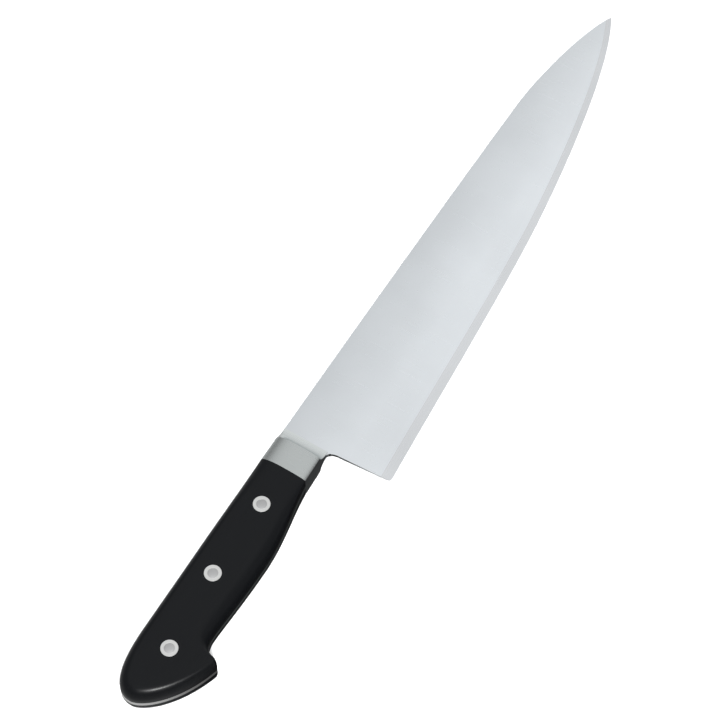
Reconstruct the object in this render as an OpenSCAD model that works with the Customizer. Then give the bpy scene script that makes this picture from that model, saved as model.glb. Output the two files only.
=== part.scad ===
// Western-handled chef's knife, lying on its left side.
// One steel plate is the blade, the neck and the full tang. A bolster cheek and a handle
// scale lie on each side of the tang, and three two-piece rivets hold the scales.
// The pieces are drawn on the knife's own lines: x runs from the heel to the tip, y = 0 is
// the line of the spine and y falls to the edge, and z = 0 is the middle of the plate.

/* [Blade] */
// Length from the heel to the tip
blade_length = 240; // [220:5:270]
// Height of the blade at the heel
heel_height = 48; // [46:0.5:52]
// How far the tip lies below the line of the spine
tip_drop = 13; // [11:0.5:15]
// Thickness of the plate at the tang, the neck and the spine over the heel
plate = 2.2; // [2:0.1:2.8]
// Thickness that the spine tapers to at the tip
tip_thickness = 1.2; // [1.1:0.1:1.6]
// Thickness just above the cutting bevels at the heel
shoulder_thickness = 0.8; // [0.7:0.1:1]
// Width of the right cutting bevel at the heel
bevel_width = 4.4; // [3:0.2:5]
// Width of the right cutting bevel at the tip
bevel_width_tip = 2.6; // [2:0.2:3]
// Width of the left cutting bevel as a share of the right one
left_bevel = 0.35; // [0.3:0.05:0.5]

/* [Handle] */
// Length from the heel to the butt
handle_length = 132; // [128:1:140]
// Thickness over both scales
grip_thickness = 16; // [15.5:0.5:18]
// Where the grip's full thickness ends, counted back from the heel
full_grip_start = 58; // [50:1:60]

/* [Bolster] */
// Where the scales meet the bolster, counted back from the heel
joint_setback = 20; // [19:0.5:21]
// Thickness over both bolster cheeks at that joint
bolster_thickness = 14.4; // [13.6:0.2:14.6]
// Radius of the hollow between the bolster's front and the blade
cove_radius = 6; // [6:0.2:7]

/* [Rivets] */
// Diameter of the rivet heads
rivet_head = 7; // [6.5:0.1:7.5]
// Diameter of a sleeve's shank
rivet_sleeve_shank = 5.6; // [5.4:0.1:6]
// Diameter of a core pin's shank
rivet_core_shank = 4.2; // [3.8:0.1:4.6]
// Thickness of the rivet heads at full grip thickness
rivet_head_depth = 3.6; // [3:0.2:4]
// Distance between one rivet and the next
rivet_pitch = 35; // [34:0.5:36]

/* [Hidden] */

STEEL = "silver";
BOLSTER_STEEL = "gainsboro";
SCALE_BLACK = "dimgray";
SLEEVE_METAL = "lightgray";
CORE_METAL = "darkgray";

CURVE_STEPS = 12;
TIP_STEPS = 16;
ROUND_STEPS = 6;
CLEAR = 12;             // reach of the cutting solids past the surfaces that they cut
EDGE_FLAT = 0.05;       // width left on the cutting edge
TOE = 0.15;             // thickness left where the bolster runs out on the blade
TANG_HOLE_PLAY = 0.4;   // the tang's holes are wider than the rivet sleeves by this

HALF_PLATE = plate / 2;
HALF_GRIP = grip_thickness / 2;
JOINT_X = -joint_setback;
TOE_X = -2.5;           // end of the bolster and start of the blade's grind
BUTT_X = -handle_length;

// Slopes of one blade face: along the blade and across it
TAPER_X = (plate - tip_thickness) / 2 / blade_length;
TAPER_Y = (plate - shoulder_thickness) / 2 / (heel_height - bevel_width);

// Slope of the grip's flat from its full thickness down to the bolster
GRIP_SLOPE = (grip_thickness - bolster_thickness) / 2 / (full_grip_start - joint_setback);

RIVET_Y = [-12, -12, -15];
FIRST_RIVET_X = -38;
FRONT = 0;
MIDDLE = 1;
REAR = 2;

// Depth of the edge below the middle plane: the wider right bevel moves it to the left
EDGE_Z = -HALF_PLATE * 0.16;

function blade_face(x, y) = HALF_PLATE - TAPER_X * x + TAPER_Y * y;
function grip_face(x) = min(HALF_GRIP, HALF_GRIP - GRIP_SLOPE * (x + full_grip_start));

// Point and direction at t on a Bezier curve of four control points
function bez(p, t) =
    pow(1 - t, 3) * p[0] + 3 * pow(1 - t, 2) * t * p[1] + 3 * (1 - t) * pow(t, 2) * p[2] + pow(t, 3) * p[3];
function bez_direction(p, t) =
    pow(1 - t, 2) * (p[1] - p[0]) + 2 * (1 - t) * t * (p[2] - p[1]) + pow(t, 2) * (p[3] - p[2]);
// Points along a curve from its start up to, but not including, its end
function along(p, steps) = [for (i = [0 : steps - 1]) bez(p, i / steps)];
function flat_points(points) = [for (q = points) [q[0], q[1]]];

// ---- Outline of the blade ----
NECK_X = -4.6;           // where the underside of the bolster runs into the neck
NECK_Y = -20.4;
spine_rear = [[0, 0], [0.29 * blade_length, 0], [0.54 * blade_length, -0.3], [0.75 * blade_length, -1.2]];
spine_front = [
    [0.75 * blade_length, -1.2],
    [0.8 * blade_length, -1.4],
    [0.93 * blade_length, 8 - tip_drop],
    [blade_length, -tip_drop]
];
edge_rear = [
    [1.5, -heel_height],
    [0.17 * blade_length, -0.938 * heel_height],
    [0.375 * blade_length, -0.887 * heel_height],
    [0.533 * blade_length, -0.802 * heel_height]
];
edge_front = [
    [0.533 * blade_length, -0.802 * heel_height],
    [0.675 * blade_length, -0.723 * heel_height],
    [0.913 * blade_length, -12 - tip_drop],
    [blade_length, -tip_drop]
];
heel_corner = [[-0.1, 1.6 - heel_height], [0, 0.5 - heel_height], [0.5, -heel_height], [1.5, -heel_height]];
neck = [[NECK_X, NECK_Y], [-3.2, -20.5], [-2.2, -21.6], [-1.7, -24]];

// ---- Outline of the grip ----
// Each point is [x, y, run, rise]: the edge of the grip there is rounded by a quarter ellipse
// that runs in from the outline and rises to the flat. The curves go from the butt forward, and
// each one under the grip has its partner of the same length on the spine side.
BEAK_X = BUTT_X + 27.8;
HOLLOW_X = BUTT_X + 31;
BELLY_X = BUTT_X + 38;
FULL_X = -full_grip_start;
BELLY_Y = -26.3;         // deepest point of the belly
JOINT_Y = -20.9;        // underside of the grip at the joint with the bolster
BEAK_Y = -0.6;          // spine side of the grip over the beak: it dips from the bolster back

butt_bottom = [
    [BUTT_X, -12, 5, 5.6],
    [BUTT_X, -17.4, 5, 5.4],
    [BUTT_X + 10, -28.8, 4.2, 5.2],
    [BEAK_X, -33.6, 2, 5]
];
beak_nose = [
    [BEAK_X, -33.6, 2, 5],
    [BEAK_X + 1.5, -33.9, 1.3, 4.6],
    [HOLLOW_X - 0.3, -31.6, 1.3, 4.4],
    [HOLLOW_X, -30, 1.8, 4.4]
];
beak_hollow = [
    [HOLLOW_X, -30, 1.8, 4.4],
    [HOLLOW_X + 1.2, -26, 2.6, 4.6],
    [HOLLOW_X + 4, -25.4, 4.6, 4.8],
    [BELLY_X, -25.2, 5.4, 5]
];
belly_rear = [
    [BELLY_X, -25.2, 5.4, 5],
    [BELLY_X + 5, -25, 6, 5.2],
    [FULL_X - 20, BELLY_Y, 6.2, 5.6],
    [FULL_X, BELLY_Y, 6.2, 5.4]
];
belly_front = [
    [FULL_X, BELLY_Y, 6.2, 5.4],
    [FULL_X + 14, BELLY_Y, 6.4, 5],
    [JOINT_X - 12, JOINT_Y - 1.4, 4.5, 3.2],
    [JOINT_X, JOINT_Y, 7, 1.2]
];
butt_top = [
    [BUTT_X, -12, 5, 5.6],
    [BUTT_X, -2, 4.8, 5.8],
    [BUTT_X + 16, BEAK_Y, 4.4, 6.2],
    [BEAK_X, BEAK_Y, 4.2, 6.2]
];
// The grip's spine side is straight from the bolster back to the beak
function spine_y(x) = BEAK_Y * (x - JOINT_X) / (BEAK_X - JOINT_X);
TOP_BEAK = [4.2, 6.2];
TOP_FULL = [3.9, 6];
TOP_JOINT = [10, 4.4];
// Towards the bolster the rounding widens to a crown across the whole grip
crown = [
    concat(FULL_X, spine_y(FULL_X), TOP_FULL),
    [FULL_X + 13, spine_y(FULL_X + 13), 3.7, 6],
    [JOINT_X - 9, spine_y(JOINT_X - 9), 4.2, 5.6],
    concat(JOINT_X, 0, TOP_JOINT)
];
// A straight stretch of the spine side from one x to the next, with its rounding
function spine_line(x0, r0, x1, r1) =
    [for (t = [0 : 3]) let (x = x0 + (x1 - x0) * t / 3) concat(x, spine_y(x), r0 + (r1 - r0) * t / 3)];

under_curves = [butt_bottom, beak_nose, beak_hollow, belly_rear, belly_front];
spine_curves = [
    butt_top,
    spine_line(BEAK_X, TOP_BEAK, HOLLOW_X, TOP_BEAK),
    spine_line(HOLLOW_X, TOP_BEAK, BELLY_X, TOP_BEAK),
    spine_line(BELLY_X, TOP_BEAK, FULL_X, TOP_FULL),
    crown
];

plate_outline = flat_points(concat(
    [for (c = under_curves) each along(c, CURVE_STEPS)],
    [[JOINT_X, JOINT_Y]],
    along(neck, 8),
    [neck[3]],
    along(heel_corner, 6),
    along(edge_rear, CURVE_STEPS),
    along(edge_front, TIP_STEPS),
    [for (i = [0 : CURVE_STEPS - 1]) bez(spine_front, 1 - i / CURVE_STEPS)],
    [for (i = [0 : 5]) bez(spine_rear, 1 - i / 6)],
    [[0, 0], [JOINT_X, 0]],
    [for (i = [0 : CURVE_STEPS - 1]) bez(butt_top, 1 - i / CURVE_STEPS)]
));

// Solid through a row of closed sections with the same even number of points. Each section's
// points run counter-clockwise as seen from the last section, and straight across the section
// the first point faces the last one, the second faces the last but one, and so on.
module loft(sections) {
    n = len(sections);
    m = len(sections[0]);
    sides = [for (k = [0 : n - 2], i = [0 : m - 1]) let (a = k * m + i, b = k * m + (i + 1) % m)
        each [[a, a + m, b + m], [a, b + m, b]]];
    start_cap = [for (i = [0 : m / 2 - 2]) each [[i, i + 1, m - 2 - i], [i, m - 2 - i, m - 1 - i]]];
    last = (n - 1) * m;
    end_cap = [for (t = start_cap) [last + t[2], last + t[1], last + t[0]]];
    polyhedron([for (s = sections) each s], concat(sides, start_cap, end_cap), convexity = 6);
}

// ---- The plate ----
// Removes what lies outside the right face of the blade's flat grind
module flat_grind() {
    tilt_y = atan(TAPER_X);
    tilt_x = atan(TAPER_Y * cos(tilt_y));
    translate([0, 0, HALF_PLATE]) rotate([tilt_x, tilt_y, 0])
        translate([TOE_X, -2 * heel_height, 0]) cube([2 * blade_length, 3 * heel_height, CLEAR]);
}

// Section of the solid that grinds a bevel, across the edge at t on one of its two curves
function bevel_section(curve, t, share, lift) =
    let (
        p = bez(curve, t),
        d = bez_direction(curve, t),
        inward = [-d[1], d[0]] / norm(d),
        width = share * (bevel_width + (bevel_width_tip - bevel_width) * p[0] / blade_length),
        shoulder = p + width * inward,
        slope = (blade_face(shoulder[0], shoulder[1]) - lift) / width,
        out = p - inward,
        in = shoulder + inward
    )
    [
        [out[0], out[1], lift - slope],
        [in[0], in[1], lift + slope * (width + 1)],
        [in[0], in[1], CLEAR],
        [out[0], out[1], CLEAR]
    ];

// The sections lie halfway between the corners of the outline, so no two edges meet
module bevel_grind(share, lift) {
    loft([
        for (i = [-1 : CURVE_STEPS - 1]) bevel_section(edge_rear, (i + 0.5) / CURVE_STEPS, share, lift),
        for (i = [0 : TIP_STEPS]) bevel_section(edge_front, (i + 0.5) / TIP_STEPS, share, lift)
    ]);
}

module blade() {
    color(STEEL) difference() {
        translate([0, 0, -HALF_PLATE]) linear_extrude(plate) polygon(plate_outline);
        flat_grind();
        mirror([0, 0, 1]) flat_grind();
        bevel_grind(1, EDGE_Z + EDGE_FLAT / 2);
        mirror([0, 0, 1]) bevel_grind(left_bevel, EDGE_FLAT / 2 - EDGE_Z);
        for (i = [FRONT : REAR])
            at_rivet(i)
                cylinder(h = 2 * plate, d = rivet_sleeve_shank + TANG_HOLE_PLAY, center = true, $fn = 64);
    }
}

// ---- Bolster and scales ----
// Point at t on a curve of the grip's outline, drawn in and up at step k of the rounding.
// side is 1 for the curves under the grip and -1 for those on its spine side.
function grip_point(curve, side, t, k) =
    let (
        p = bez(curve, t),
        d = bez_direction(curve, t),
        inward = p[0] < FULL_X ? side * [-d[1], d[0]] / norm([d[0], d[1]]) : [0, side],
        angle = 90 * k / ROUND_STEPS,
        q = [p[0], p[1]] + p[2] * (1 - cos(angle)) * inward
    )
    [q[0], q[1], grip_face(q[0]) - p[3] * (1 - sin(angle))];

// All points of one side at step k, from the butt forward to the joint
function grip_side(curves, side, k) = [
    for (c = curves, i = [1 : CURVE_STEPS]) grip_point(c, side, i / CURVE_STEPS, k)
];
function backwards(list) = [for (i = [len(list) - 1 : -1 : 0]) list[i]];
// One ring round the scale, from the joint back along the spine and forward under the belly
function grip_ring(k) = concat(backwards(grip_side(spine_curves, -1, k)), grip_side(under_curves, 1, k));
function grip_base() = [for (q = grip_ring(0)) [q[0], q[1], HALF_PLATE]];

module grip_scale() {
    difference() {
        loft(concat([grip_base()], [for (k = [0 : ROUND_STEPS]) grip_ring(k)]));
        for (i = [FRONT : REAR]) {
            at_rivet(i) cylinder(h = 4 * HALF_GRIP, d = rivet_sleeve_shank, center = true, $fn = 64);
            at_rivet(i) translate([0, 0, HALF_GRIP - rivet_head_depth])
                cylinder(h = CLEAR, d = rivet_head, $fn = 64);
        }
    }
}

// Half of the section across a bolster cheek, from the plate up and in to the flat
function cheek_half(x, y, side, face, run, rise) = concat(
    [[x, y, HALF_PLATE]],
    [for (k = [0 : ROUND_STEPS]) let (angle = 90 * k / ROUND_STEPS)
        [x, y + side * run * (1 - cos(angle)), face - rise * (1 - sin(angle))]]
);
// Section across the bolster cheek at x, whose flat is at height face there
function cheek_section(x, face) =
    let (
        full = (face - HALF_PLATE) / (grip_face(JOINT_X) - HALF_PLATE),
        under = JOINT_Y + (NECK_Y - JOINT_Y) * (x - JOINT_X) / (NECK_X - JOINT_X)
    )
    concat(
        cheek_half(x, under, 1, face, belly_front[3][2] * full, belly_front[3][3] * full),
        backwards(cheek_half(x, 0, -1, face, TOP_JOINT[0] * full, TOP_JOINT[1] * full))
    );

// The cheek's flat runs on from the scale, and a round hollow ends it on the blade
module bolster_cheek() {
    hollow_z = HALF_PLATE + TOE + cove_radius;
    front_z = grip_face(TOE_X - cove_radius);
    hollow_angle = acos(max(0, hollow_z - front_z) / cove_radius);
    loft(backwards(concat(
        [cheek_section(JOINT_X, grip_face(JOINT_X))],
        [for (i = [8 : -1 : 0]) let (angle = hollow_angle * i / 8)
            cheek_section(TOE_X - cove_radius * sin(angle), hollow_z - cove_radius * cos(angle))]
    )));
}

module bolster_right() { color(BOLSTER_STEEL) bolster_cheek(); }
module bolster_left() { color(BOLSTER_STEEL) mirror([0, 0, 1]) bolster_cheek(); }
module scale_right() { color(SCALE_BLACK) grip_scale(); }
module scale_left() { color(SCALE_BLACK) mirror([0, 0, 1]) grip_scale(); }

// ---- Rivets ----
module at_rivet(i) {
    translate([FIRST_RIVET_X - i * rivet_pitch, RIVET_Y[i], 0]) children();
}

// Removes what stands above the flat of the right side of the grip
module grip_flat() {
    translate([-2 * handle_length, -2 * heel_height, HALF_GRIP])
        cube([3 * handle_length, 3 * heel_height, CLEAR]);
    translate([FULL_X, 0, HALF_GRIP]) rotate([0, atan(GRIP_SLOPE), 0])
        translate([-handle_length, -2 * heel_height, 0]) cube([3 * handle_length, 3 * heel_height, CLEAR]);
}

// A sleeve has its head in the right scale and its shank reaches down to the head of the core
module rivet_sleeve(i) {
    shoulder = HALF_GRIP - rivet_head_depth;
    color(SLEEVE_METAL) difference() {
        at_rivet(i) union() {
            translate([0, 0, shoulder]) cylinder(h = rivet_head_depth + 1, d = rivet_head, $fn = 64);
            translate([0, 0, -shoulder]) cylinder(h = 2 * shoulder, d = rivet_sleeve_shank, $fn = 64);
        }
        at_rivet(i) cylinder(h = 4 * HALF_GRIP, d = rivet_core_shank, center = true, $fn = 64);
        grip_flat();
    }
}

// A core has its head in the left scale and its shank fills the sleeve up to the right flat
module rivet_core(i) {
    color(CORE_METAL) difference() {
        at_rivet(i) union() {
            translate([0, 0, -HALF_GRIP - 1]) cylinder(h = rivet_head_depth + 1, d = rivet_head, $fn = 64);
            translate([0, 0, -HALF_GRIP]) cylinder(h = 2 * HALF_GRIP + 1, d = rivet_core_shank, $fn = 64);
        }
        grip_flat();
        mirror([0, 0, 1]) grip_flat();
    }
}

// ---- The knife laid on its left scale, with the origin under the middle of its box ----
module laid_down() {
    translate([(handle_length - blade_length) / 2, heel_height / 2, HALF_GRIP]) children();
}

laid_down() blade();
laid_down() bolster_right();
laid_down() bolster_left();
laid_down() scale_right();
laid_down() scale_left();
laid_down() rivet_sleeve(FRONT);  // rivet_sleeve_front
laid_down() rivet_sleeve(MIDDLE);  // rivet_sleeve_middle
laid_down() rivet_sleeve(REAR);  // rivet_sleeve_rear
laid_down() rivet_core(FRONT);  // rivet_core_front
laid_down() rivet_core(MIDDLE);  // rivet_core_middle
laid_down() rivet_core(REAR);  // rivet_core_rear
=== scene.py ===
# %% [markdown]
# # A Western-handled chef's knife
# The knife is one steel plate, ground to a blade in front and left flat as a tang behind. A
# bolster cheek and a black scale lie on each side of the tang, and three two-piece rivets go
# through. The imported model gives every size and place. The cells below rebuild its pieces
# with smooth curves, and give each the finish of the real material.

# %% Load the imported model
import math

import bmesh
import bpy
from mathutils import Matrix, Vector


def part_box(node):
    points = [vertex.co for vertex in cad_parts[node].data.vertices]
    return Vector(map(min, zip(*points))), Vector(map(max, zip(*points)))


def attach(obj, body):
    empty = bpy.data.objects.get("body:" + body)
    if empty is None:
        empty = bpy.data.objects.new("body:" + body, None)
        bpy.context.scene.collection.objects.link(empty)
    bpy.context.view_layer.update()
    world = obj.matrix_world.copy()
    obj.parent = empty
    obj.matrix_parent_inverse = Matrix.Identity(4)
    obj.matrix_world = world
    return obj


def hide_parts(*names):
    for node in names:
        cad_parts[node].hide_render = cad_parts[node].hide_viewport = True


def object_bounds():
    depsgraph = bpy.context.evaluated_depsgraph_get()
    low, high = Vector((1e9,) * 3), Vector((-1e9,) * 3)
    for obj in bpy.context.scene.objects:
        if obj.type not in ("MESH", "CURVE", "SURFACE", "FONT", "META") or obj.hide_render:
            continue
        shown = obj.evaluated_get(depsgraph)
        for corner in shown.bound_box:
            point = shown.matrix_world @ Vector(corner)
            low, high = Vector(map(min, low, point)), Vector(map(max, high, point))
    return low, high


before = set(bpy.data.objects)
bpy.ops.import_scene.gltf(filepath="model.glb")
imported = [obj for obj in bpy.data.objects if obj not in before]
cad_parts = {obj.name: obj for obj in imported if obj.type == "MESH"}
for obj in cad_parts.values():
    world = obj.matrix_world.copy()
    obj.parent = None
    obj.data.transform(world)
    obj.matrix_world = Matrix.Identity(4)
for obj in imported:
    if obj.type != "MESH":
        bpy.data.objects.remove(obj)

cad_bounds = [list(corner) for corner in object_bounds()]
print("nodes:", sorted(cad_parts))
print("box of the packed model:", cad_bounds)

# %% [markdown]
# ## Where things are
# A cutler draws a knife from two lines: the line of the spine and the foot of the heel. Every
# size below is in millimetres on those lines: x runs from the heel to the tip, y falls from
# the spine to the edge, and z is counted from the middle of the plate. One function turns such
# a point into the model's own metres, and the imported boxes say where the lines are.

# %% The knife's own lines
MM = 0.001
BLADE_LOW, BLADE_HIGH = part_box("blade")
BLADE_LENGTH = 240
HANDLE_LENGTH = 132
HALF_PLATE = (BLADE_HIGH.z - BLADE_LOW.z) / 2 / MM
HALF_GRIP = (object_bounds()[1][2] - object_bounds()[0][2]) / 2 / MM
JOINT_X = (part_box("bolster_right")[0].x - BLADE_LOW.x) / MM - HANDLE_LENGTH
TOE_X = (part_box("bolster_right")[1].x - BLADE_LOW.x) / MM - HANDLE_LENGTH
HEEL_FOOT = Vector((
    BLADE_LOW.x + HANDLE_LENGTH * MM,
    BLADE_HIGH.y,
    (BLADE_LOW.z + BLADE_HIGH.z) / 2,
))


def in_model(x, y, z):
    """The model's place for a point on the knife's lines."""
    return HEEL_FOOT + Vector((x, y, z)) * MM


def on_knife(point):
    """The place on the knife's lines of a point in the model."""
    return (point - HEEL_FOOT) / MM


print("half plate", HALF_PLATE, "half grip", HALF_GRIP, "joint at", JOINT_X, "toe at", TOE_X)

# %% [markdown]
# ## Camera, floor and light
# A knife for a catalogue is laid on a white sheet and lit through large diffusers, so that its
# flat faces are evenly bright. The camera looks down steeply from the side of the edge, with a
# long lens, which keeps the blade's sides nearly parallel.

# %% Camera
CAMERA_PLACE = Vector((-492.8, -281.8, 1067.5)) * MM
CAMERA_TARGET = Vector((-13.9, 15.0, 8.0)) * MM
bpy.ops.object.select_all(action="DESELECT")
bpy.ops.object.camera_add(location=CAMERA_PLACE)
camera = bpy.context.object
camera.name = "catalogue_camera"
camera.rotation_euler = (CAMERA_TARGET - CAMERA_PLACE).to_track_quat("-Z", "Y").to_euler()
camera.data.lens = 148.03
camera.data.sensor_width = 36
camera.data.clip_start = 0.05
bpy.context.scene.camera = camera
print("camera at", tuple(camera.location), "lens", camera.data.lens)


# %% [markdown]
# The plain Standard view shows each colour as it is, so that white paper stays white.

# %% Colours and nodes
bpy.context.scene.view_settings.view_transform = "Standard"


def colour(hexes):
    """Linear colour with full alpha for an sRGB hex value such as "c8ccd0"."""
    parts = [int(hexes[i:i + 2], 16) / 255 for i in (0, 2, 4)]
    return (*[p / 12.92 if p <= 0.04045 else ((p + 0.055) / 1.055) ** 2.4 for p in parts], 1)


def add_node(tree, kind, settings=None, links=None):
    """Adds a node. settings are its own values, links are sockets or values for its inputs."""
    node = tree.nodes.new(kind)
    for name, value in (settings or {}).items():
        setattr(node, name, value)
    for name, value in (links or {}).items():
        if isinstance(value, bpy.types.NodeSocket):
            tree.links.new(value, node.inputs[name])
        else:
            node.inputs[name].default_value = value
    return node


def ramp(tree, value, start, end, low, high, kind="LINEAR"):
    """A number that goes from low to high while a value goes from start to end."""
    node = add_node(tree, "ShaderNodeMapRange", {"interpolation_type": kind}, {
        "Value": value,
        "From Min": start,
        "From Max": end,
        "To Min": low,
        "To Max": high,
    })
    return node.outputs["Result"]


def combine(tree, operation, first, second):
    """The result of one of the Math node's operations on two numbers."""
    node = add_node(tree, "ShaderNodeMath", {"operation": operation}, {0: first, 1: second})
    return node.outputs["Value"]


def parts_of(tree, vector):
    """The X, Y and Z of a vector, as the outputs of one node."""
    return add_node(tree, "ShaderNodeSeparateXYZ", links={"Vector": vector}).outputs


# %% Floor
FLOOR_SIZE = 6
floor_z = cad_bounds[0][2]
bpy.ops.object.select_all(action="DESELECT")
bpy.ops.mesh.primitive_plane_add(size=FLOOR_SIZE, location=(0, 0, floor_z))
floor = bpy.context.object
floor.name = "white_sheet"
paper = bpy.data.materials.new("white_paper")
paper.use_nodes = True
surface = paper.node_tree.nodes["Principled BSDF"]
surface.inputs["Base Color"].default_value = colour("f4f4f4")
surface.inputs["Roughness"].default_value = 0.9
surface.inputs["Specular IOR Level"].default_value = 0.1
floor.data.materials.append(paper)
floor.visible_glossy = False
print("floor at", floor_z)

# %% [markdown]
# The room is a soft white vault along the knife. It is brightest above the tip, where the flats
# look, and falls off to both sides down to a grey rim. Below the level of the table it is
# nearly black, so that the sides of the handle stay black. Ceiling panels light the paper. The
# panels and the paper are kept out of the reflections, as a photographer does with flags, so
# that the steel doesn't burn out. Low white cards brighten what faces them: one beyond the
# butt for the line of tang there, and one behind the spine for the bolster's edges. A small
# diffuser near the camera gives the handle its highlight at the butt.

# %% Light
SOFT = "SMOOTHSTEP"
DOME_TOP = 0.9
DOME_RIM = 0.4
UNDER_TABLE = 0.03
BRIGHTEST = (0.6, 0, 0.8)
VAULT_MIDDLE = 0.2
BUTT_CARD = 0.7
SPINE_CARD = 0.6
world = bpy.data.worlds.new("soft_dome")
bpy.context.scene.world = world
world.use_nodes = True
dome = world.node_tree
sky_place = add_node(dome, "ShaderNodeTexCoord")
towards = add_node(dome, "ShaderNodeVectorMath", {"operation": "DOT_PRODUCT"}, {
    0: sky_place.outputs["Generated"],
    1: BRIGHTEST,
})
part = parts_of(dome, sky_place.outputs["Generated"])
along_knife = ramp(dome, towards.outputs["Value"], -0.1, 0.75, 0, DOME_TOP, SOFT)
offset = combine(dome, "SUBTRACT", part["Y"], VAULT_MIDDLE)
distance = combine(dome, "MULTIPLY", offset, offset)
across_knife = ramp(dome, distance, 0.02, 0.8, 1, 0, SOFT)
vault = combine(dome, "MULTIPLY", along_knife, across_knife)
rim = ramp(dome, part["Z"], -0.05, 0.2, UNDER_TABLE, DOME_RIM, SOFT)
sky = combine(dome, "MAXIMUM", vault, rim)
low_down = ramp(dome, part["Z"], 0.1, -0.1, 0, 1, SOFT)
butt_card = ramp(dome, part["X"], 0.1, -0.4, 0, BUTT_CARD, SOFT)
spine_card = ramp(dome, part["Y"], 0, 0.3, 0, SPINE_CARD, SOFT)
cards = combine(dome, "MULTIPLY", combine(dome, "MAXIMUM", butt_card, spine_card), low_down)
dome.links.new(combine(dome, "ADD", sky, cards), dome.nodes["Background"].inputs["Strength"])
dome.nodes["Background"].inputs["Color"].default_value = colour("fdfeff")
print("dome:", world.name)


def add_diffuser(name, place, target, size, power):
    """A square soft light at a place, facing a target."""
    bpy.ops.object.select_all(action="DESELECT")
    bpy.ops.object.light_add(type="AREA", location=place)
    lamp = bpy.context.object
    lamp.name = name
    lamp.rotation_euler = (Vector(target) - Vector(place)).to_track_quat("-Z", "Y").to_euler()
    lamp.data.size = size
    lamp.data.energy = power
    print(name, "at", place, "with", power, "W")
    return lamp


ceiling = add_diffuser("ceiling_panels", (0, 0, 2.5), (0, 0.001, 0), 4, 150)
ceiling.visible_glossy = False
add_diffuser("butt_diffuser", (-0.75, -0.56, 1.0), (-0.15, 0, 0), 0.16, 20)

# %% [markdown]
# ## Curves
# Each part of the outline is a cubic curve through four points, the kind that Blender's own
# Bezier curves use: the first and last are on the outline, and the two between pull it. A
# grip point also says how the edge is rounded there: how far the rounding runs in from the
# outline, and how far it drops below the flat.


# %% Points on a curve
def curve_point(curve, t):
    """The point at t, from 0 to 1, on a curve of four control points."""
    weights = ((1 - t) ** 3, 3 * (1 - t) ** 2 * t, 3 * (1 - t) * t ** 2, t ** 3)
    return [sum(w * p[i] for w, p in zip(weights, curve)) for i in range(len(curve[0]))]


def curve_way(curve, t):
    """The unit direction of the curve at t, in the plane of the plate."""
    weights = ((1 - t) ** 2, 2 * (1 - t) * t, t ** 2)
    steps = [(b[0] - a[0], b[1] - a[1]) for a, b in zip(curve, curve[1:])]
    way = Vector([sum(w * s[i] for w, s in zip(weights, steps)) for i in (0, 1)])
    return way.normalized()


# %% Outline of the grip
BUTT_X = -HANDLE_LENGTH
BEAK_X = BUTT_X + 27.8
HOLLOW_X = BUTT_X + 31
BELLY_X = BUTT_X + 38
FULL_X = -58
BELLY_Y = -26.3
JOINT_Y = -20.9
NECK_X = -4.6
NECK_Y = -20.4
BEAK_Y = -0.6
butt_bottom = [
    (BUTT_X, -12, 5, 5.6),
    (BUTT_X, -17.4, 5, 5.4),
    (BUTT_X + 10, -28.8, 4.2, 5.2),
    (BEAK_X, -33.6, 2, 5),
]
beak_nose = [
    (BEAK_X, -33.6, 2, 5),
    (BEAK_X + 1.5, -33.9, 1.3, 4.6),
    (HOLLOW_X - 0.3, -31.6, 1.3, 4.4),
    (HOLLOW_X, -30, 1.8, 4.4),
]
beak_hollow = [
    (HOLLOW_X, -30, 1.8, 4.4),
    (HOLLOW_X + 1.2, -26, 2.6, 4.6),
    (HOLLOW_X + 4, -25.4, 4.6, 4.8),
    (BELLY_X, -25.2, 5.4, 5),
]
belly_rear = [
    (BELLY_X, -25.2, 5.4, 5),
    (BELLY_X + 5, -25, 6, 5.2),
    (FULL_X - 20, BELLY_Y, 6.2, 5.6),
    (FULL_X, BELLY_Y, 6.2, 5.4),
]
belly_front = [
    (FULL_X, BELLY_Y, 6.2, 5.4),
    (FULL_X + 14, BELLY_Y, 6.4, 5),
    (JOINT_X - 12, JOINT_Y - 1.4, 4.5, 3.2),
    (JOINT_X, JOINT_Y, 7, 1.2),
]
butt_top = [
    (BUTT_X, -12, 5, 5.6),
    (BUTT_X, -2, 4.8, 5.8),
    (BUTT_X + 16, BEAK_Y, 4.4, 6.2),
    (BEAK_X, BEAK_Y, 4.2, 6.2),
]


def spine_y(x):
    """The grip's spine side, a straight line that dips from the bolster back to the beak."""
    return BEAK_Y * (x - JOINT_X) / (BEAK_X - JOINT_X)


TOP_BEAK = (4.2, 6.2)
TOP_FULL = (3.9, 6)
TOP_JOINT = (10, 4.4)
crown = [
    (FULL_X, spine_y(FULL_X), *TOP_FULL),
    (FULL_X + 13, spine_y(FULL_X + 13), 3.7, 6),
    (JOINT_X - 9, spine_y(JOINT_X - 9), 4.2, 5.6),
    (JOINT_X, 0, *TOP_JOINT),
]


def straight(start, end):
    """A curve that is a straight line, with its inner points a third and two thirds along."""
    return [tuple(a + (b - a) * t / 3 for a, b in zip(start, end)) for t in range(4)]


under_curves = [butt_bottom, beak_nose, beak_hollow, belly_rear, belly_front]
spine_curves = [
    butt_top,
    straight((BEAK_X, BEAK_Y, *TOP_BEAK), (HOLLOW_X, spine_y(HOLLOW_X), *TOP_BEAK)),
    straight((HOLLOW_X, spine_y(HOLLOW_X), *TOP_BEAK), (BELLY_X, spine_y(BELLY_X), *TOP_BEAK)),
    straight((BELLY_X, spine_y(BELLY_X), *TOP_BEAK), (FULL_X, spine_y(FULL_X), *TOP_FULL)),
    crown,
]
print("grip outline:", len(under_curves), "curves below and", len(spine_curves), "above")

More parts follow.
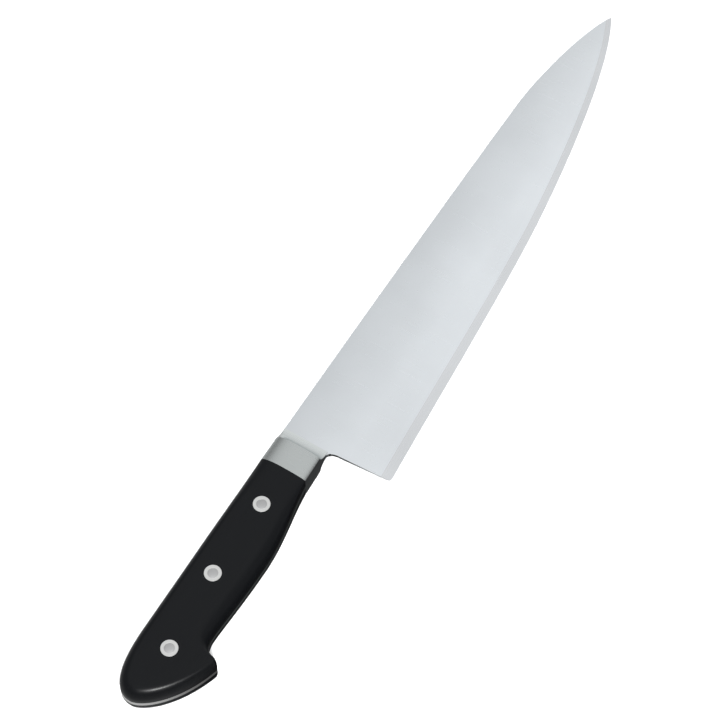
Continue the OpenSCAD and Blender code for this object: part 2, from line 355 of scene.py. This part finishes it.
# %% Outline of the blade
HEEL_Y = -(BLADE_HIGH.y - BLADE_LOW.y) / MM
TIP = (BLADE_LENGTH, -13)
SPINE_MIDDLE = (180, -1.2)
EDGE_MIDDLE = (0.533 * BLADE_LENGTH, 0.802 * HEEL_Y)
spine_rear = [(0, 0), (69.6, 0), (129.6, -0.3), SPINE_MIDDLE]
spine_front = [SPINE_MIDDLE, (192, -1.4), (223.2, -5), TIP]
edge_rear = [(1.5, HEEL_Y), (40.8, 0.938 * HEEL_Y), (90, 0.887 * HEEL_Y), EDGE_MIDDLE]
edge_front = [EDGE_MIDDLE, (162, 0.723 * HEEL_Y), (219.12, -25), TIP]
heel_corner = [(-0.1, HEEL_Y + 1.6), (0, HEEL_Y + 0.5), (0.5, HEEL_Y), (1.5, HEEL_Y)]
neck = [(NECK_X, NECK_Y), (-3.2, -20.5), (-2.2, -21.6), (-1.7, -24)]
print("heel at", HEEL_Y, "tip at", TIP)

# %% [markdown]
# ## Two ways to start a solid
# A flat outline, such as the plate, starts as Blender's own Bezier curve, filled and given its
# thickness, and is then converted to a mesh. A shape with rounded edges starts as a grid with
# one row of faces, laid like a ladder between the two sides of its outline. Extruding the
# whole ladder, and moving what was extruded, raises the rounding one ring at a time. Every
# vertex remembers its rung and its side, so that each ring knows where to go.


# %% Select, clean and place
def only(piece):
    """Makes a piece the one selected and active object."""
    bpy.ops.object.select_all(action="DESELECT")
    piece.select_set(True)
    bpy.context.view_layer.objects.active = piece


MERGE_GAP = 0.002 * MM


def clean(piece):
    """Merges doubled points and turns the faces outwards."""
    only(piece)
    bpy.ops.object.mode_set(mode="EDIT")
    bpy.ops.mesh.select_all(action="SELECT")
    bpy.ops.mesh.remove_doubles(threshold=MERGE_GAP)
    bpy.ops.mesh.normals_make_consistent(inside=False)
    bpy.ops.object.mode_set(mode="OBJECT")


def merge_flat(piece, wanted):
    """Merges the level faces of a piece that lie where wanted(place) is true."""
    only(piece)
    bpy.ops.object.mode_set(mode="EDIT")
    bpy.ops.mesh.select_mode(type="FACE")
    bpy.ops.mesh.select_all(action="DESELECT")
    mesh = bmesh.from_edit_mesh(piece.data)
    for face in mesh.faces:
        level = abs(face.normal.z) > 0.9999 or face.calc_area() < 1e-9
        if level and wanted(on_knife(face.calc_center_median())):
            face.select = True
    bmesh.update_edit_mesh(piece.data)
    bpy.ops.mesh.dissolve_faces()
    bpy.ops.object.mode_set(mode="OBJECT")


def cut(piece, cutter):
    """Takes the cutter's solid away from a piece, and the cutter from the scene."""
    only(piece)
    bpy.ops.object.modifier_add(type="BOOLEAN")
    modifier = piece.modifiers[-1]
    modifier.operation = "DIFFERENCE"
    modifier.solver = "EXACT"
    modifier.object = cutter
    bpy.ops.object.modifier_apply(modifier=modifier.name)
    bpy.data.objects.remove(cutter)


def print_piece(piece):
    """Says how many faces a piece has, and its size."""
    size = [round(side / MM, 2) for side in piece.dimensions]
    print(piece.name, len(piece.data.polygons), "faces,", size, "mm")


# %% A ladder of faces, raised ring by ring
def lay_ladder(name, rungs, place):
    """A row of faces with its corners at place(rung, side)."""
    bpy.ops.object.select_all(action="DESELECT")
    bpy.ops.mesh.primitive_grid_add(x_subdivisions=rungs - 1, y_subdivisions=1, size=1)
    piece = bpy.context.object
    piece.name = name
    rung = piece.data.attributes.new("rung", "INT", "POINT")
    side = piece.data.attributes.new("side", "INT", "POINT")
    for i, vertex in enumerate(piece.data.vertices):
        rung.data[i].value = i % rungs
        side.data[i].value = i // rungs
        vertex.co = in_model(*place(i % rungs, i // rungs))
    return piece


def raise_ladder(piece, places):
    """Extrudes the ladder once for each function in places, which says where its corners go."""
    only(piece)
    bpy.ops.object.mode_set(mode="EDIT")
    bpy.ops.mesh.select_all(action="SELECT")
    for place in places:
        bpy.ops.mesh.extrude_region_move()
        mesh = bmesh.from_edit_mesh(piece.data)
        rung = mesh.verts.layers.int["rung"]
        side = mesh.verts.layers.int["side"]
        for vertex in mesh.verts:
            if vertex.select:
                vertex.co = in_model(*place(vertex[rung], vertex[side]))
        bmesh.update_edit_mesh(piece.data)
    bpy.ops.object.mode_set(mode="OBJECT")


# %% [markdown]
# ## The plate
# The blade, the neck and the tang are one sheet of stainless steel, cut out and then ground.
# The outline is a closed Bezier curve with the thickness of the sheet. Each side of the blade
# is then ground to a plane that leans in towards the edge and the tip, and the cutting bevels
# are ground along the edge, wide on the right side and narrow on the left.

# %% Cut out the plate
CURVE_DIVISIONS = 24
plate_curves = [
    *under_curves,
    straight((JOINT_X, JOINT_Y), (NECK_X, NECK_Y)),
    neck,
    straight(neck[3], heel_corner[0]),
    heel_corner,
    edge_rear,
    edge_front,
    spine_front[::-1],
    spine_rear[::-1],
    straight((0, 0), (JOINT_X, 0)),
    straight((JOINT_X, 0), (BEAK_X, BEAK_Y)),
    butt_top[::-1],
]
bpy.ops.object.select_all(action="DESELECT")
bpy.ops.curve.primitive_bezier_curve_add()
plate = bpy.context.object
plate.name = "steel_plate"
plate.data.splines.clear()
outline = plate.data.splines.new("BEZIER")
outline.bezier_points.add(len(plate_curves) - 1)
outline.use_cyclic_u = True
outline.resolution_u = CURVE_DIVISIONS
for i, knot in enumerate(outline.bezier_points):
    knot.handle_left_type = "FREE"
    knot.handle_right_type = "FREE"
    knot.co = in_model(*plate_curves[i][0][:2], 0)
    knot.handle_right = in_model(*plate_curves[i][1][:2], 0)
    knot.handle_left = in_model(*plate_curves[i - 1][2][:2], 0)
plate.data.dimensions = "3D"
plate.data.dimensions = "2D"
plate.data.resolution_u = CURVE_DIVISIONS
plate.data.fill_mode = "BOTH"
plate.data.extrude = HALF_PLATE * MM
plate.location.z = HEEL_FOOT.z
bpy.ops.object.convert(target="MESH")
bpy.ops.object.transform_apply(location=True, rotation=True, scale=True)
clean(plate)
only(plate)
bpy.ops.object.mode_set(mode="EDIT")
bpy.ops.mesh.select_all(action="SELECT")
bpy.ops.mesh.dissolve_limited(angle_limit=math.radians(0.01))
bpy.ops.object.mode_set(mode="OBJECT")
print_piece(plate)

# %% Grind the flats
TIP_THICKNESS = 1.2
SHOULDER_THICKNESS = 0.8
BEVEL_HEEL = 4.4
BEVEL_TIP = 2.6
SLOPE_X = (HALF_PLATE - TIP_THICKNESS / 2) / BLADE_LENGTH
SLOPE_Y = (HALF_PLATE - SHOULDER_THICKNESS / 2) / (-HEEL_Y - BEVEL_HEEL)
REACH = 12


def blade_face(x, y):
    """Height of the blade's right face over the middle of the plate."""
    return HALF_PLATE - SLOPE_X * x + SLOPE_Y * y


def mirror_through_plate(piece):
    """Turns a piece for the right side into the same piece for the left side."""
    for vertex in piece.data.vertices:
        vertex.co.z = 2 * HEEL_FOOT.z - vertex.co.z
    clean(piece)


def grind(rungs, low, high, left):
    """Takes from the plate a ladder laid at low and raised to high, on the right or the left."""
    grinder = lay_ladder("grinder", rungs, low)
    raise_ladder(grinder, [high])
    clean(grinder)
    if left:
        mirror_through_plate(grinder)
    cut(plate, grinder)


GRIND_X = (TOE_X, BLADE_LENGTH + 20)
GRIND_Y = (HEEL_Y - 12, 10)


def on_face(rung, side):
    """A corner of the wheel's flat, well outside the blade."""
    return GRIND_X[rung], GRIND_Y[side], blade_face(GRIND_X[rung], GRIND_Y[side])


def above_face(rung, side):
    """The corner over it."""
    x, y, z = on_face(rung, side)
    return x, y, z + REACH


for left in (False, True):
    grind(2, on_face, above_face, left)
print_piece(plate)

# %% Grind the bevels
EDGE_Z = -0.16 * HALF_PLATE
EDGE_FLAT = 0.04
LEFT_SHARE = 0.35
BEVEL_RUNGS = 90


def edge_place(t):
    """The point, inward direction and bevel width at t, from 0 at the heel to 2 at the tip."""
    curve, part = (edge_rear, t) if t < 1 else (edge_front, t - 1)
    x, y = curve_point(curve, part)
    way = curve_way(curve, part)
    width = BEVEL_HEEL + (BEVEL_TIP - BEVEL_HEEL) * x / BLADE_LENGTH
    return Vector((x, y)), Vector((-way.y, way.x)), width


def bevel_place(rung, side, share, lift):
    """A corner of the bevel's grinder: side 0 is outside the edge, side 1 beyond the shoulder."""
    t = -0.06 + 2.09 * rung / (BEVEL_RUNGS - 1)
    point, inward, width = edge_place(t)
    width *= share
    shoulder = point + inward * width
    slope = (blade_face(*shoulder) - lift) / width
    corner = point - inward if side == 0 else shoulder + inward
    height_there = lift - slope if side == 0 else lift + slope * (width + 1)
    return corner.x, corner.y, height_there


for left, share, lift in (
    (False, 1, EDGE_Z + EDGE_FLAT / 2),
    (True, LEFT_SHARE, -EDGE_Z + EDGE_FLAT / 2),
):
    grind(
        BEVEL_RUNGS,
        lambda rung, side: bevel_place(rung, side, share, lift),
        lambda rung, side: (*bevel_place(rung, side, share, lift)[:2], REACH),
        left,
    )
print_piece(plate)

# %% Drill the tang
RIVETS = {"front": (-38, -12), "middle": (-73, -12), "rear": (-108, -15)}
HEAD_R = (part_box("rivet_sleeve_rear")[1].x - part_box("rivet_sleeve_rear")[0].x) / 2 / MM
SHANK_R = 2.8
CORE_R = 2.1
HOLE_R = 3.0
ROUND_SIDES = 64


def drill(piece, x, y, z, radius, depth):
    """Cuts a round hole whose middle is at (x, y, z)."""
    bpy.ops.object.select_all(action="DESELECT")
    bpy.ops.mesh.primitive_cylinder_add(
        vertices=ROUND_SIDES, radius=radius * MM, depth=depth * MM, location=in_model(x, y, z)
    )
    cut(piece, bpy.context.object)


for x, y in RIVETS.values():
    drill(plate, x, y, 0, HOLE_R, 3 * HALF_PLATE)
clean(plate)
print_piece(plate)

# %% Ease the spine and the choil
# The spine and the choil are touched with an abrasive belt, so that they don't cut the hand.
EASE = 0.22
TALL_WALL = 0.6


def to_be_eased(place):
    """Whether a place is on the blade's spine, short of the tip, or in the choil."""
    spine = 0.5 < place.x < BLADE_LENGTH - 4 and place.y > -12
    choil = -3 < place.x < 1 and -45 < place.y < NECK_Y - 0.1
    return spine or choil


only(plate)
bpy.ops.object.mode_set(mode="EDIT")
bpy.ops.mesh.select_mode(type="EDGE")
bpy.ops.mesh.select_all(action="DESELECT")
mesh = bmesh.from_edit_mesh(plate.data)
chosen = 0
for edge in mesh.edges:
    if len(edge.link_faces) != 2:
        continue
    middle = on_knife((edge.verts[0].co + edge.verts[1].co) / 2)
    walls = [f for f in edge.link_faces if abs(f.normal.z) < 0.5]
    flats = [f for f in edge.link_faces if abs(f.normal.z) > 0.9]
    if len(walls) != 1 or len(flats) != 1:
        continue
    heights = [v.co.z for v in walls[0].verts]
    tall = (max(heights) - min(heights)) / MM > TALL_WALL
    if tall and to_be_eased(middle):
        edge.select = True
        chosen += 1
bmesh.update_edit_mesh(plate.data)
bpy.ops.mesh.bevel(offset=EASE * MM, segments=3, profile=0.5, clamp_overlap=True)
bpy.ops.object.mode_set(mode="OBJECT")
clean(plate)
bpy.ops.object.shade_smooth_by_angle(angle=math.radians(3.5))
print("eased", chosen, "edges")
print_piece(plate)

# %% [markdown]
# ## Scales
# The scales are moulded black plastic, glued to the tang and sanded with it, so their outline
# and the tang's are one surface. Each has a flat outer face and a rounded edge, broad along
# the spine and the belly and tighter at the beak. One scale is raised from a ladder laid along
# its outline, and its mirrored copy is the other.

# %% Face of the grip
HALF_BOLSTER = 7.2
GRIP_SLOPE = (HALF_GRIP - HALF_BOLSTER) / (JOINT_X - FULL_X)
SOFTENING = 7


def grip_top(x):
    """Height of the grip's flat, which bends softly where it starts to thin to the bolster."""
    ahead = x - FULL_X
    if ahead <= -SOFTENING:
        return HALF_GRIP
    if ahead >= SOFTENING:
        return HALF_GRIP - GRIP_SLOPE * ahead
    return HALF_GRIP - GRIP_SLOPE * (ahead + SOFTENING) ** 2 / (4 * SOFTENING)


# %% Raise a scale
SCALE_STEPS = 24
ROUND_RINGS = 12
HOLD = 0.5


def grip_point(rung, side, angle, hold=0):
    """A corner of the scale: side 0 runs under the grip and side 1 along its spine side."""
    curve_number, step = divmod(rung, SCALE_STEPS)
    curve = (spine_curves if side else under_curves)[curve_number]
    t = (step + 1) / SCALE_STEPS
    x, y, run, rise = curve_point(curve, t)
    turn = -1 if side else 1
    way = curve_way(curve, t)
    inward = Vector((-way.y, way.x)) * turn if x < FULL_X else Vector((0, turn))
    corner = Vector((x, y)) + inward * (run * (1 - math.cos(angle)) + hold)
    return corner.x, corner.y, grip_top(corner.x) - rise * (1 - math.sin(angle))


def rings_of(point):
    """The rings of a rounded edge, from its foot up to the flat and a little way in."""
    angles = [math.pi / 2 * k / ROUND_RINGS for k in range(ROUND_RINGS + 1)]
    rings = [lambda rung, side, angle=angle: point(rung, side, angle) for angle in angles]
    return rings + [lambda rung, side: point(rung, side, math.pi / 2, HOLD)]


scale_rungs = SCALE_STEPS * len(under_curves)
scale_right = lay_ladder(
    "grip_scale_right", scale_rungs, lambda r, s: (*grip_point(r, s, 0)[:2], HALF_PLATE)
)
raise_ladder(scale_right, rings_of(grip_point))
clean(scale_right)
merge_flat(scale_right, lambda place: place.x < FULL_X - SOFTENING - 1)
HEAD_DEPTH = 3.6
for x, y in RIVETS.values():
    drill(scale_right, x, y, HALF_GRIP, SHANK_R, 4 * HALF_GRIP)
    drill(scale_right, x, y, HALF_GRIP - HEAD_DEPTH + REACH / 2, HEAD_R, REACH)
clean(scale_right)
bpy.ops.object.shade_smooth_by_angle(angle=math.radians(30))
print_piece(scale_right)


# %% Copy it to the left side
def left_copy(piece, name):
    """A mirrored copy with its own mesh, for the left side of the plate."""
    only(piece)
    bpy.ops.object.duplicate()
    copy = bpy.context.object
    copy.name = name
    mirror_through_plate(copy)
    return copy


scale_left = left_copy(scale_right, "grip_scale_left")
print_piece(scale_left)

# %% [markdown]
# ## Bolster
# The bolster's two cheeks are steel, welded to the tang and ground flush with the scales. The
# flat runs on from the scale, and a round hollow, as wide as a small grinding wheel, runs it
# out on the blade. The edge under the cheek is left crisp, and the one along the spine is
# rounded for the thumb. It is the same ladder and rings as the scale.

# %% Raise a bolster cheek
COVE_R = 6
TOE = 0.15
COVE_STEPS = 16
FLAT_STEPS = 6
hollow_z = HALF_PLATE + TOE + COVE_R
hollow_angle = math.acos((hollow_z - grip_top(TOE_X - COVE_R)) / COVE_R)
cheek_line = []
for k in range(COVE_STEPS + 1):
    angle = hollow_angle * (1 - k / COVE_STEPS)
    cheek_line.append((TOE_X - COVE_R * math.sin(angle), hollow_z - COVE_R * math.cos(angle)))
flat_end = cheek_line[0][0]
for k in range(FLAT_STEPS, 0, -1):
    x = flat_end + (JOINT_X - flat_end) * k / FLAT_STEPS
    cheek_line.insert(FLAT_STEPS - k, (x, grip_top(x)))
cheek_height = grip_top(JOINT_X) - HALF_PLATE


def cheek_point(rung, side, angle, hold=0):
    """A corner of the cheek. Its rounding gets smaller as the hollow runs it out."""
    x, face = cheek_line[rung]
    full = (face - HALF_PLATE) / cheek_height
    if side:
        run, rise = TOP_JOINT[0] * full, TOP_JOINT[1] * full
        y = -run * (1 - math.cos(angle)) - hold * full
    else:
        run, rise = belly_front[3][2] * full, belly_front[3][3] * full
        under = JOINT_Y + (NECK_Y - JOINT_Y) * (x - JOINT_X) / (NECK_X - JOINT_X)
        y = under + run * (1 - math.cos(angle)) + hold * full
    return x, y, face - rise * (1 - math.sin(angle))


bolster_right = lay_ladder(
    "bolster_cheek_right", len(cheek_line), lambda r, s: (*cheek_point(r, s, 0)[:2], HALF_PLATE)
)
raise_ladder(bolster_right, rings_of(cheek_point))
clean(bolster_right)
bpy.ops.object.shade_smooth_by_angle(angle=math.radians(30))
bolster_left = left_copy(bolster_right, "bolster_cheek_left")
print_piece(bolster_right)

# %% [markdown]
# ## Rivets
# A cutler's rivet is two turned pieces that are pressed together: a sleeve with a head on the
# right side, and a pin with a head on the left, whose shank fills the sleeve. Sanded flush, it
# shows on the right as a bright ring with a duller disc in it. Both are lathe work, so half a
# section is drawn and spun round the rivet's axis.


# %% Turn a rivet
def turn(name, section, x, y):
    """Spins a section of (radius, height) points, seen from its open side, round an axis."""
    bpy.ops.object.select_all(action="DESELECT")
    bpy.ops.mesh.primitive_circle_add(vertices=len(section), radius=MM, fill_type="NOTHING")
    piece = bpy.context.object
    piece.name = name
    for vertex, (radius, z) in zip(piece.data.vertices, section):
        vertex.co = in_model(x + radius, y, z)
    piece.location = (0, 0, 0)
    only(piece)
    bpy.ops.object.mode_set(mode="EDIT")
    bpy.ops.mesh.select_all(action="SELECT")
    bpy.ops.mesh.spin(
        steps=ROUND_SIDES, angle=2 * math.pi, center=in_model(x, y, 0), axis=(0, 0, 1)
    )
    bpy.ops.object.mode_set(mode="OBJECT")
    clean(piece)
    return piece


def sand_flush(piece, above):
    """Brings the ends that stand beyond a height down to the slope of the grip."""
    for vertex in piece.data.vertices:
        place = on_knife(vertex.co)
        if place.z > above:
            vertex.co.z -= (HALF_GRIP - grip_top(place.x)) * MM
        if place.z < -above:
            vertex.co.z += (HALF_GRIP - grip_top(place.x)) * MM
    only(piece)
    bpy.ops.object.shade_smooth_by_angle(angle=math.radians(30))


CHAMFER = 0.05
PROUD = 0.01
CORE_SUNK = 0.03
top = HALF_GRIP + PROUD
shoulder = HALF_GRIP - HEAD_DEPTH
sleeve_section = [
    (CORE_R, top - CHAMFER),
    (CORE_R + CHAMFER, top),
    (HEAD_R - CHAMFER, top),
    (HEAD_R, top - CHAMFER),
    (HEAD_R, shoulder),
    (SHANK_R, shoulder),
    (SHANK_R, -shoulder),
    (CORE_R, -shoulder),
]
core_section = [
    (0, top - CORE_SUNK),
    (CORE_R - CHAMFER, top - CORE_SUNK),
    (CORE_R, top - CHAMFER),
    (CORE_R, -shoulder),
    (HEAD_R, -shoulder),
    (HEAD_R, -top + CHAMFER),
    (HEAD_R - CHAMFER, -top),
    (0, -top),
]
rivet_pieces = {}
for where, (x, y) in RIVETS.items():
    sleeve = turn("sleeve_" + where, sleeve_section, x, y)
    core = turn("core_" + where, core_section, x, y)
    for piece in (sleeve, core):
        sand_flush(piece, HALF_GRIP - 1)
    rivet_pieces[where] = (sleeve, core)
    print_piece(sleeve)
    print_piece(core)

# %% [markdown]
# ## Steel
# The plate is stainless cutlery steel. A belt has ground its sides from the spine to the edge,
# which leaves fine parallel lines, too close to be seen one by one, that make the shine soft.
# The lines are drawn a little coarser than the real grit, so that they show. The face's colour
# is painted brighter towards the edge and the tip: painted shading for how the light falls.


# %% A ground steel
LINE_STRETCH = 60
HAZE_MM = 28


def ground_steel(name, base, roughness, lines, line_mm, along, depth, cloud=0.04):
    """Metal with belt lines along one axis, and a faint cloudiness a few centimetres wide."""
    material = bpy.data.materials.new(name)
    material.use_nodes = True
    tree = material.node_tree
    surface = tree.nodes["Principled BSDF"]
    surface.inputs["Metallic"].default_value = 1
    place = add_node(tree, "ShaderNodeTexCoord")
    stretch = [1 / (line_mm * MM)] * 3
    stretch[along] /= LINE_STRETCH
    fine = add_node(tree, "ShaderNodeMapping", links={
        "Vector": place.outputs["Object"],
        "Scale": stretch,
    })
    grit = add_node(tree, "ShaderNodeTexNoise", links={
        "Vector": fine.outputs["Vector"],
        "Scale": 1.0,
        "Detail": 3.0,
        "Roughness": 0.6,
    })
    haze = add_node(tree, "ShaderNodeTexNoise", links={
        "Vector": place.outputs["Object"],
        "Scale": 1 / (HAZE_MM * MM),
        "Detail": 2.0,
        "Roughness": 0.5,
    })
    dull = ramp(tree, grit.outputs["Fac"], 0.25, 0.75, roughness - lines, roughness + lines)
    tree.links.new(dull, surface.inputs["Roughness"])
    tint = add_node(tree, "ShaderNodeVectorMath", {"operation": "SCALE"}, {
        0: colour(base)[:3],
        "Scale": ramp(tree, haze.outputs["Fac"], 0.3, 0.7, 1 - cloud, 1 + cloud * 0.5),
    })
    tree.links.new(tint.outputs["Vector"], surface.inputs["Base Color"])
    bump = add_node(tree, "ShaderNodeBump", links={
        "Height": grit.outputs["Fac"],
        "Strength": depth,
        "Distance": 0.02 * MM,
    })
    tree.links.new(bump.outputs["Normal"], surface.inputs["Normal"])
    return material


def change_along(material, factor_at):
    """Multiplies a steel's colour by factor_at(tree, spot), where spot says where a point is."""
    tree = material.node_tree
    colour_in = tree.nodes["Principled BSDF"].inputs["Base Color"]
    place = add_node(tree, "ShaderNodeTexCoord")
    changed = add_node(tree, "ShaderNodeVectorMath", {"operation": "SCALE"}, {
        0: colour_in.links[0].from_socket,
        "Scale": factor_at(tree, parts_of(tree, place.outputs["Object"])),
    })
    tree.links.new(changed.outputs["Vector"], colour_in)


ALONG, ACROSS, UPRIGHT = range(3)
blade_steel = ground_steel(
    "belt_ground_stainless_steel", "e9edf0", 0.3, 0.04, 0.35, ACROSS, 0.25
)
bevel_steel = ground_steel(
    "whetstone_ground_bevel", "dfe1e3", 0.24, 0.05, 0.3, ALONG, 0.3
)
edge_steel = ground_steel(
    "linished_plate_edge", "d0d0ce", 0.34, 0.06, 0.3, ALONG, 0.4
)
# The choil steel's darker colour is painted shade for a wall that faces down into shade.
choil_steel = ground_steel(
    "choil_steel_painted_shade", "c8caca", 0.45, 0.05, 0.3, UPRIGHT, 0.4
)
bolster_steel = ground_steel(
    "brushed_bolster_steel", "bcc0bf", 0.3, 0.06, 0.3, ACROSS, 0.4
)
# The underside steel's dark colour is painted shade for faces that look down, where shade falls.
underside_steel = ground_steel(
    "underside_steel_painted_shade", "8a8d8e", 0.45, 0.05, 0.3, ALONG, 0.4
)

plate_finishes = (blade_steel, bevel_steel, edge_steel, choil_steel, underside_steel)
print("steel:", [material.name for material in (*plate_finishes, bolster_steel)])

# %% Paint shading on the face, brighter towards the edge and the tip
SHADING_DEPTH = 27


def face_painted_shading(tree, spot):
    """Painted shading of the face: darkest along the spine at the heel."""
    edge_y = HEEL_FOOT.y - SHADING_DEPTH * MM
    tip_x = HEEL_FOOT.x + BLADE_LENGTH * MM
    towards_edge = ramp(tree, spot["Y"], HEEL_FOOT.y, edge_y, 0.82, 1.0)
    towards_tip = ramp(tree, spot["X"], HEEL_FOOT.x, tip_x, 0.97, 1.04)
    return combine(tree, "MULTIPLY", towards_edge, towards_tip)


# This brightening of the face is painted shading that stands in for how the light falls, not
# polish.
change_along(blade_steel, face_painted_shading)
print("face polished to", SHADING_DEPTH, "mm under the spine")

# %% Paint light into the bolster's hollow towards the blade
# The hollow's colour is painted brighter towards the blade: painted light that stands in for the
# light it catches.
HOLLOW_START = -8


def hollow_painted_light(tree, spot):
    """Painted light on the cheek: it brightens only in the hollow."""
    start = HEEL_FOOT.x + HOLLOW_START * MM
    return ramp(tree, spot["X"], start, HEEL_FOOT.x + TOE_X * MM, 1.0, 1.36, SOFT)


# This brightening of the hollow is painted light, not polish.
change_along(bolster_steel, hollow_painted_light)
print("hollow polished from", HOLLOW_START, "to", TOE_X)

# %% Darken the choil towards the neck with painted shade
# The choil's colour is painted dark into the corner under the bolster: painted shade where the
# corner is shaded.
CHOIL_DARK_Y = -28
CHOIL_BRIGHT_Y = -42


def choil_painted_shade(tree, spot):
    """Painted shade on the choil: nearly black in the corner and plain steel at the heel."""
    dark_y = HEEL_FOOT.y + CHOIL_DARK_Y * MM
    return ramp(tree, spot["Y"], dark_y, HEEL_FOOT.y + CHOIL_BRIGHT_Y * MM, 0.04, 1.0)


# This darkening of the choil is painted shade, not a lack of polish.
change_along(choil_steel, choil_painted_shade)
print("choil polished from", CHOIL_DARK_Y, "to", CHOIL_BRIGHT_Y)

# %% [markdown]
# ## Black plastic
# The scales are acetal, the hard moulded plastic of most restaurant knives, sanded after
# riveting and buffed. It is nearly black, with a soft sheen, and the buffing leaves a very
# fine grain and a few faint streaks along the grip.

# %% Buffed acetal
acetal = bpy.data.materials.new("buffed_black_acetal")
acetal.use_nodes = True
tree = acetal.node_tree
surface = tree.nodes["Principled BSDF"]
surface.inputs["Specular IOR Level"].default_value = 0.12
place = add_node(tree, "ShaderNodeTexCoord")
streak = add_node(tree, "ShaderNodeMapping", links={
    "Vector": place.outputs["Object"],
    "Scale": (1 / (12 * MM), 1 / (0.5 * MM), 1 / (0.5 * MM)),
})
buffing = add_node(tree, "ShaderNodeTexNoise", links={
    "Vector": streak.outputs["Vector"],
    "Scale": 1.0,
    "Detail": 3.0,
})
grain = add_node(tree, "ShaderNodeTexNoise", links={
    "Vector": place.outputs["Object"],
    "Scale": 1 / (0.4 * MM),
    "Detail": 2.0,
})
black = add_node(tree, "ShaderNodeMix", {"data_type": "RGBA"}, {
    "Factor": buffing.outputs["Fac"],
    6: colour("070809"),
    7: colour("090a0c"),
})
tree.links.new(black.outputs[2], surface.inputs["Base Color"])
sheen = ramp(tree, buffing.outputs["Fac"], 0.3, 0.7, 0.28, 0.32)
tree.links.new(sheen, surface.inputs["Roughness"])
bump = add_node(tree, "ShaderNodeBump", links={
    "Height": grain.outputs["Fac"],
    "Strength": 0.3,
    "Distance": 0.01 * MM,
})
tree.links.new(bump.outputs["Normal"], surface.inputs["Normal"])
print("plastic:", acetal.name)

# %% [markdown]
# ## Rivet metal
# The sleeve is a soft bright nickel-silver alloy and the pin is steel, and both are sanded
# with the grip. The pin takes the sanding worse and looks grey and grainy in its bright ring.

# %% Sanded rivets
sleeve_metal = ground_steel("sanded_nickel_silver", "dcdcda", 0.38, 0.05, 0.3, ALONG, 0.3)
core_metal = ground_steel("sanded_steel_pin", "bababa", 0.5, 0.1, 0.45, ALONG, 0.6, 0.1)
print("rivets:", sleeve_metal.name, core_metal.name)

# %% [markdown]
# ## Give each surface its finish
# The plate has five finishes, so its faces are sorted by where they are and which way they
# face: walls are the spine, the choil or the edge of the tang, and a face in the blade that
# leans more than the flats do is a bevel.

# %% Finish the plate
WALL_LEAN = 0.3
BEVEL_LEAN = 0.05


def finish_of(face):
    """The plate's finish for one of its faces."""
    middle = on_knife(face.center)
    lean = math.hypot(face.normal.x, face.normal.y)
    if lean > WALL_LEAN:
        if middle.y >= -19 or not BELLY_X - 8 < middle.x < 1.5:
            return edge_steel
        # The choil and the walls under the belly get the darker steels: painted shade on faces
        # that look down.
        return choil_steel if middle.x > -3 else underside_steel
    if middle.x > 0 and lean > BEVEL_LEAN and middle.y < -8:
        return bevel_steel
    return blade_steel


for material in plate_finishes:
    plate.data.materials.append(material)
counts = [0] * len(plate_finishes)
for face in plate.data.polygons:
    face.material_index = plate_finishes.index(finish_of(face))
    counts[face.material_index] += 1
print("faces of blade, bevel, plate edge, choil and underside:", counts)

# %% Finish the other pieces
for piece in (scale_right, scale_left):
    piece.data.materials.append(acetal)
for piece in (bolster_right, bolster_left):
    piece.data.materials.append(bolster_steel)
    piece.data.materials.append(underside_steel)
    # Cheek faces that look down get the dark underside steel: painted shade.
    for face in piece.data.polygons:
        face.material_index = 1 if face.normal.y < -0.7 else 0
for sleeve, core in rivet_pieces.values():
    sleeve.data.materials.append(sleeve_metal)
    core.data.materials.append(core_metal)

# %% [markdown]
# ## Say what each piece stands for
# Nothing on the knife moves, so every piece rides on its one body. Each stands for the packed
# piece that it was built from.

# %% Ride and replace
stands_for = {
    plate: ("blade", "blade_steel"),
    bolster_right: ("bolster_right", "bolster_steel"),
    bolster_left: ("bolster_left", "bolster_steel"),
    scale_right: ("scale_right", "black_scale"),
    scale_left: ("scale_left", "black_scale"),
}
for where, (sleeve, core) in rivet_pieces.items():
    stands_for[sleeve] = ("rivet_sleeve_" + where, "rivet_sleeve")
    stands_for[core] = ("rivet_core_" + where, "rivet_core")
for piece, (packed, slot_name) in stands_for.items():
    piece.location = (0, 0, 0)
    for name in ("rung", "side"):
        if name in piece.data.attributes:
            piece.data.attributes.remove(piece.data.attributes[name])
    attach(piece, "root")
    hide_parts(packed)
    print(piece.name, "stands for", packed)
